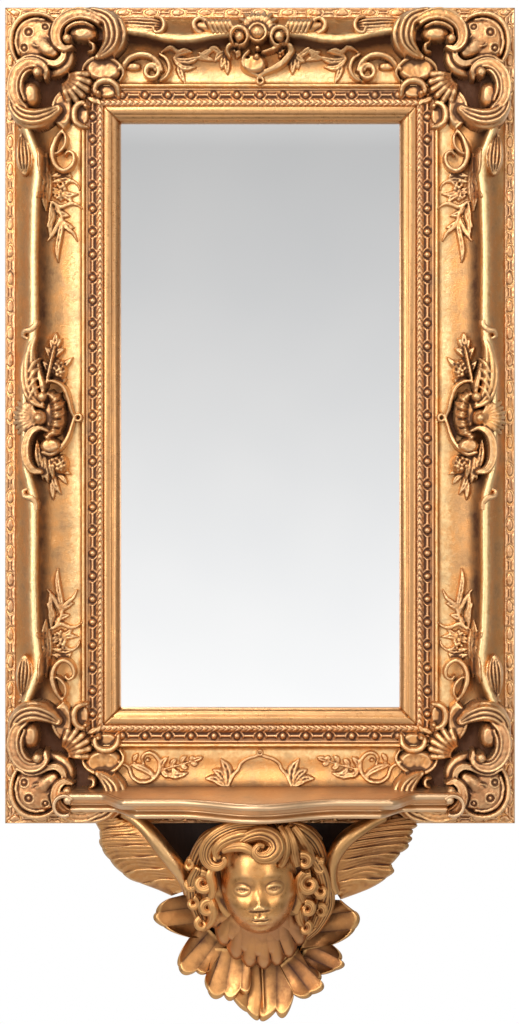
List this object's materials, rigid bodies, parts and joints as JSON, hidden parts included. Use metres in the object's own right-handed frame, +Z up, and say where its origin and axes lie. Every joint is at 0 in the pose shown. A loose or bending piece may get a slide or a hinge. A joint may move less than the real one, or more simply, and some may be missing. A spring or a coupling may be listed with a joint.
{
  "type": "wall mirror with console shelf",
  "caption": "Gilded baroque wall mirror with carved corner scrolls, beaded sight edge and a bow-fronted console shelf on a winged cherub head with acanthus leaves.",
  "frame": {"origin": "on the wall plane, on the back of the top rail, midway between the round holes of the two keyhole hangers", "axes": "+X to the right as seen from the front, +Y into the wall, +Z up along the frame's height"},
  "size_m": [0.5, 0.135, 0.991],
  "materials": {
    "gilding": "gilded wood, satin, bole showing through where rubbed",
    "carved_gilding": "gilded carving, satin, dark in the hollows",
    "pale_gilding": "paler gilded wood, satin",
    "face_gilding": "smooth burnished gilded wood",
    "mirror": "silvered flat glass",
    "back_panel": "bare brown hardboard",
    "bare_wood": "stained bare wood",
    "brass": "dull brass",
    "steel": "zinc-plated steel"
  },
  "bodies": {
    "mirror": {"top_rail": "gilding", "bottom_rail": "gilding", "left_stile": "gilding", "right_stile": "gilding", "bead_strip_top": "pale_gilding", "bead_strip_bottom": "pale_gilding", "bead_strip_left": "pale_gilding", "bead_strip_right": "pale_gilding", "sight_slip_top": "pale_gilding", "sight_slip_bottom": "pale_gilding", "sight_slip_left": "pale_gilding", "sight_slip_right": "pale_gilding", "corner_scroll_top_left": "carved_gilding", "corner_scroll_top_right": "carved_gilding", "corner_scroll_bottom_left": "carved_gilding", "corner_scroll_bottom_right": "carved_gilding", "crest_ornament": "carved_gilding", "side_cartouche_left": "carved_gilding", "side_cartouche_right": "carved_gilding", "bottom_cartouche": "carved_gilding", "leaf_spray_top_left": "carved_gilding", "leaf_spray_top_right": "carved_gilding", "leaf_spray_left_upper": "carved_gilding", "leaf_spray_left_lower": "carved_gilding", "leaf_spray_right_upper": "carved_gilding", "leaf_spray_right_lower": "carved_gilding", "leaf_spray_bottom_left": "carved_gilding", "leaf_spray_bottom_right": "carved_gilding", "shelf_board": "gilding", "shelf_apron": "gilding", "shelf_scroll_left": "carved_gilding", "shelf_scroll_right": "carved_gilding", "bracket_board": "bare_wood", "wing_left": "carved_gilding", "wing_right": "carved_gilding", "cherub_head": "face_gilding", "hair_curls": "carved_gilding", "neck_ruffle": "carved_gilding", "acanthus_leaf_1": "carved_gilding", "acanthus_leaf_2": "carved_gilding", "acanthus_leaf_3": "carved_gilding", "acanthus_leaf_4": "carved_gilding", "acanthus_leaf_5": "carved_gilding", "acanthus_leaf_6": "carved_gilding", "acanthus_leaf_7": "carved_gilding", "mirror_glass": "mirror", "back_panel": "back_panel", "turn_button_screws": "brass", "keyhole_plate_left": "steel", "keyhole_plate_right": "steel", "keyhole_screws": "steel", "shelf_screws": "steel", "bracket_screws": "steel"},
    "button_1": {"turn_button_1": "brass"},
    "button_2": {"turn_button_2": "brass"},
    "button_3": {"turn_button_3": "brass"},
    "button_4": {"turn_button_4": "brass"},
    "button_5": {"turn_button_5": "brass"},
    "button_6": {"turn_button_6": "brass"}
  },
  "joints": [
    {"name": "turn_button_1_turn", "type": "hinge", "parent": "mirror", "child": "button_1", "pos_m": [-0.162, -0.0039, -0.21], "axis": [0, 1, 0], "continuous": true},
    {"name": "turn_button_2_turn", "type": "hinge", "parent": "mirror", "child": "button_2", "pos_m": [-0.162, -0.0039, -0.51], "axis": [0, 1, 0], "continuous": true},
    {"name": "turn_button_3_turn", "type": "hinge", "parent": "mirror", "child": "button_3", "pos_m": [0.162, -0.0039, -0.21], "axis": [0, 1, 0], "continuous": true},
    {"name": "turn_button_4_turn", "type": "hinge", "parent": "mirror", "child": "button_4", "pos_m": [0.162, -0.0039, -0.51], "axis": [0, 1, 0], "continuous": true},
    {"name": "turn_button_5_turn", "type": "hinge", "parent": "mirror", "child": "button_5", "pos_m": [0, -0.0039, -0.048], "axis": [0, 1, 0], "continuous": true},
    {"name": "turn_button_6_turn", "type": "hinge", "parent": "mirror", "child": "button_6", "pos_m": [0, -0.0039, -0.672], "axis": [0, 1, 0], "continuous": true}
  ]
}
